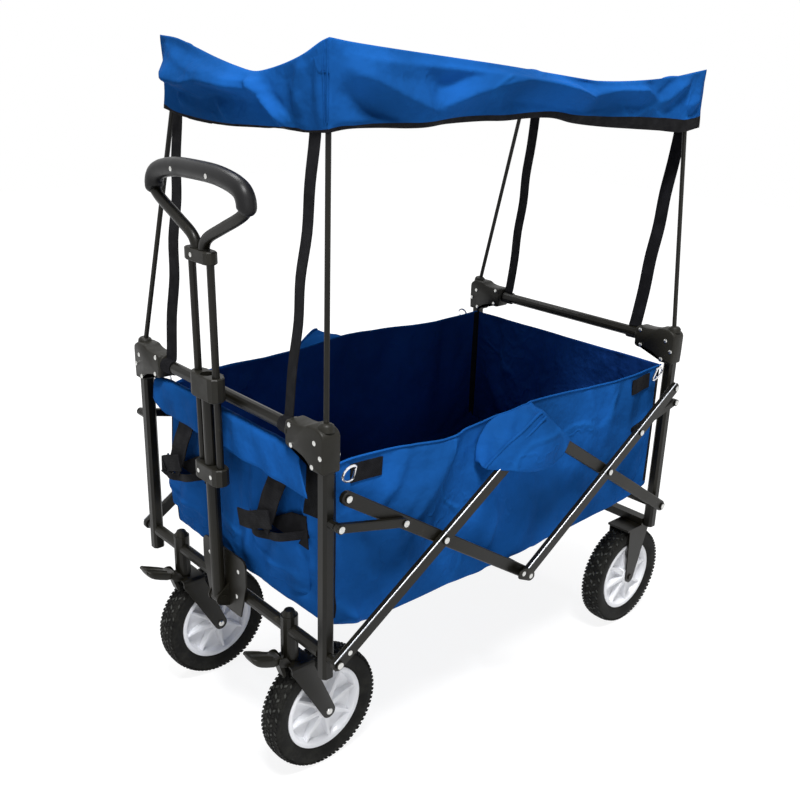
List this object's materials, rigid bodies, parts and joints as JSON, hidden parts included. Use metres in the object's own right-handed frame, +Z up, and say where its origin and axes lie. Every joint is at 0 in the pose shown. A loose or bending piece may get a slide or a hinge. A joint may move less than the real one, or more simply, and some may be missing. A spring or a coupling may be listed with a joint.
{
  "type": "folding camping cart",
  "caption": "Folding fabric cart with a canopy: a scissor-link frame that folds end to end, swivelling braked front wheels and a pivoting, telescoping pull handle.",
  "frame": {"origin": "On the ground, under the middle of the cart's bounding box.", "axes": "-X points to the handle end (the front), +X to the rear, +Y to the cart's right side, +Z up."},
  "size_m": [0.9233, 0.5476, 1.0578],
  "materials": {
    "coated_steel": "satin black powder coat with an olive-brown cast",
    "black_plastic": "matt moulded",
    "grip_plastic": "satin moulded",
    "tyre_rubber": "matt moulded",
    "white_plastic": "satin moulded",
    "blue_polyester": "plain woven polyester",
    "black_webbing": "flat woven webbing"
  },
  "bodies": {
    "front_frame": {"front_left_leg": "coated_steel", "front_right_leg": "coated_steel", "front_left_bracket": "black_plastic", "front_right_bracket": "black_plastic", "front_top_rail": "coated_steel", "front_caster_beam": "coated_steel", "handle_mount": "coated_steel", "front_left_canopy_post": "coated_steel", "front_right_canopy_post": "coated_steel", "front_left_canopy_strap": "black_webbing", "front_right_canopy_strap": "black_webbing", "bag_front_panel": "blue_polyester", "bag_body": "blue_polyester", "canopy": "blue_polyester"},
    "rear_frame": {"rear_left_leg": "coated_steel", "rear_right_leg": "coated_steel", "rear_left_bracket": "black_plastic", "rear_right_bracket": "black_plastic", "rear_top_rail": "coated_steel", "rear_lower_rail": "coated_steel", "rear_axle_beam": "coated_steel", "rear_left_canopy_post": "coated_steel", "rear_right_canopy_post": "coated_steel", "rear_left_canopy_strap": "black_webbing", "rear_right_canopy_strap": "black_webbing", "bag_rear_panel": "blue_polyester"},
    "handle_lower": {"handle_tube": "coated_steel", "handle_top_collar": "black_plastic"},
    "handle_upper": {"handle_slider": "black_plastic", "handle_left_rod": "coated_steel", "handle_right_rod": "coated_steel", "handle_neck": "black_plastic", "handle_loop": "coated_steel", "handle_grip": "grip_plastic"},
    "left_front_rising": {"left_front_rising_link": "coated_steel"},
    "left_front_falling": {"left_front_falling_link": "coated_steel", "centre_cross_tube": "coated_steel"},
    "left_rear_rising": {"left_rear_rising_link": "coated_steel"},
    "left_rear_falling": {"left_rear_falling_link": "coated_steel"},
    "right_front_rising": {"right_front_rising_link": "coated_steel"},
    "right_front_falling": {"right_front_falling_link": "coated_steel"},
    "right_rear_rising": {"right_rear_rising_link": "coated_steel"},
    "right_rear_falling": {"right_rear_falling_link": "coated_steel"},
    "left_front_guide": {"left_front_guide_link": "coated_steel"},
    "left_rear_guide": {"left_rear_guide_link": "coated_steel"},
    "right_front_guide": {"right_front_guide_link": "coated_steel"},
    "right_rear_guide": {"right_rear_guide_link": "coated_steel"},
    "left_caster": {"left_caster_fork": "coated_steel"},
    "right_caster": {"right_caster_fork": "coated_steel"},
    "left_pedal": {"left_brake_pedal": "black_plastic"},
    "right_pedal": {"right_brake_pedal": "black_plastic"},
    "front_left_wheel": {"front_left_tyre": "tyre_rubber", "front_left_rim": "white_plastic"},
    "front_right_wheel": {"front_right_tyre": "tyre_rubber", "front_right_rim": "white_plastic"},
    "rear_left_wheel": {"rear_left_tyre": "tyre_rubber", "rear_left_rim": "white_plastic"},
    "rear_right_wheel": {"rear_right_tyre": "tyre_rubber", "rear_right_rim": "white_plastic"}
  },
  "joints": [
    {"name": "fold", "type": "hinge", "parent": "front_frame", "child": "left_front_rising", "pos_m": [-0.389, -0.262, 0.2552], "axis": [0, -1, 0], "range_deg": [0, 44.8], "deforming": ["bag_body", "canopy"]},
    {"name": "left_front_middle", "type": "hinge", "parent": "left_front_rising", "child": "left_front_falling", "pos_m": [-0.1945, -0.262, 0.3825], "axis": [0, -1, 0], "range_deg": [-90.6, 0.5]},
    {"name": "left_centre_foot", "type": "hinge", "parent": "left_front_falling", "child": "left_rear_rising", "pos_m": [0, -0.262, 0.2552], "axis": [0, -1, 0], "range_deg": [-0.5, 90.6]},
    {"name": "left_rear_middle", "type": "hinge", "parent": "left_rear_rising", "child": "left_rear_falling", "pos_m": [0.1945, -0.262, 0.3825], "axis": [0, -1, 0], "range_deg": [-90.6, 0.5]},
    {"name": "left_rear_foot", "type": "hinge", "parent": "left_rear_falling", "child": "rear_frame", "pos_m": [0.389, -0.262, 0.2552], "axis": [0, -1, 0], "range_deg": [-0.5, 45.3]},
    {"name": "right_front_foot", "type": "hinge", "parent": "front_frame", "child": "right_front_rising", "pos_m": [-0.389, 0.262, 0.2552], "axis": [0, -1, 0], "range_deg": [-0.5, 45.3]},
    {"name": "right_front_middle", "type": "hinge", "parent": "right_front_rising", "child": "right_front_falling", "pos_m": [-0.1945, 0.262, 0.3825], "axis": [0, -1, 0], "range_deg": [-90.6, 0.5]},
    {"name": "right_centre_foot", "type": "hinge", "parent": "right_front_falling", "child": "right_rear_rising", "pos_m": [0, 0.262, 0.2552], "axis": [0, -1, 0], "range_deg": [-0.5, 90.6]},
    {"name": "right_rear_middle", "type": "hinge", "parent": "right_rear_rising", "child": "right_rear_falling", "pos_m": [0.1945, 0.262, 0.3825], "axis": [0, -1, 0], "range_deg": [-90.6, 0.5]},
    {"name": "left_front_guide_pivot", "type": "hinge", "parent": "front_frame", "child": "left_front_guide", "pos_m": [-0.389, -0.262, 0.46252], "axis": [0, -1, 0], "range_deg": [-0.5, 90.6]},
    {"name": "left_rear_guide_pivot", "type": "hinge", "parent": "rear_frame", "child": "left_rear_guide", "pos_m": [0.389, -0.262, 0.46252], "axis": [0, -1, 0], "range_deg": [-90.6, 0.5]},
    {"name": "right_front_guide_pivot", "type": "hinge", "parent": "front_frame", "child": "right_front_guide", "pos_m": [-0.389, 0.262, 0.46252], "axis": [0, -1, 0], "range_deg": [-0.5, 90.6]},
    {"name": "right_rear_guide_pivot", "type": "hinge", "parent": "rear_frame", "child": "right_rear_guide", "pos_m": [0.389, 0.262, 0.46252], "axis": [0, -1, 0], "range_deg": [-90.6, 0.5]},
    {"name": "handle_pivot", "type": "hinge", "parent": "front_frame", "child": "handle_lower", "pos_m": [-0.4125, 0, 0.245], "axis": [0, -1, 0], "range_deg": [0, 95]},
    {"name": "handle_slide", "type": "slide", "parent": "handle_lower", "child": "handle_upper", "axis": [-0.014, 0, 0.9999], "range_m": [-0.11, 0.102]},
    {"name": "left_caster_swivel", "type": "hinge", "parent": "front_frame", "child": "left_caster", "pos_m": [-0.389, -0.154, 0.2], "axis": [0, 0, 1], "continuous": true},
    {"name": "left_brake", "type": "hinge", "parent": "left_caster", "child": "left_pedal", "pos_m": [-0.4115, -0.154, 0.213], "axis": [0, -1, 0], "range_deg": [0, 9]},
    {"name": "front_left_wheel_spin", "type": "hinge", "parent": "left_caster", "child": "front_left_wheel", "pos_m": [-0.335, -0.154, 0.098], "axis": [0, 1, 0], "continuous": true},
    {"name": "rear_left_wheel_spin", "type": "hinge", "parent": "rear_frame", "child": "rear_left_wheel", "pos_m": [0.362, -0.206, 0.098], "axis": [0, 1, 0], "continuous": true},
    {"name": "right_caster_swivel", "type": "hinge", "parent": "front_frame", "child": "right_caster", "pos_m": [-0.389, 0.154, 0.2], "axis": [0, 0, 1], "continuous": true},
    {"name": "right_brake", "type": "hinge", "parent": "right_caster", "child": "right_pedal", "pos_m": [-0.4115, 0.154, 0.213], "axis": [0, -1, 0], "range_deg": [0, 9]},
    {"name": "front_right_wheel_spin", "type": "hinge", "parent": "right_caster", "child": "front_right_wheel", "pos_m": [-0.335, 0.154, 0.098], "axis": [0, 1, 0], "continuous": true},
    {"name": "rear_right_wheel_spin", "type": "hinge", "parent": "rear_frame", "child": "rear_right_wheel", "pos_m": [0.362, 0.206, 0.098], "axis": [0, 1, 0], "continuous": true}
  ],
  "couplings": [
    {"joint": "left_front_middle", "follows": "fold", "ratio": -2},
    {"joint": "left_centre_foot", "follows": "fold", "ratio": 2},
    {"joint": "left_rear_middle", "follows": "fold", "ratio": -2},
    {"joint": "left_rear_foot", "follows": "fold", "ratio": 1},
    {"joint": "right_front_foot", "follows": "fold", "ratio": 1},
    {"joint": "right_front_middle", "follows": "fold", "ratio": -2},
    {"joint": "right_centre_foot", "follows": "fold", "ratio": 2},
    {"joint": "right_rear_middle", "follows": "fold", "ratio": -2},
    {"joint": "left_front_guide_pivot", "follows": "fold", "ratio": 1.9989},
    {"joint": "left_rear_guide_pivot", "follows": "fold", "ratio": -1.9989},
    {"joint": "right_front_guide_pivot", "follows": "fold", "ratio": 1.9989},
    {"joint": "right_rear_guide_pivot", "follows": "fold", "ratio": -1.9989}
  ]
}
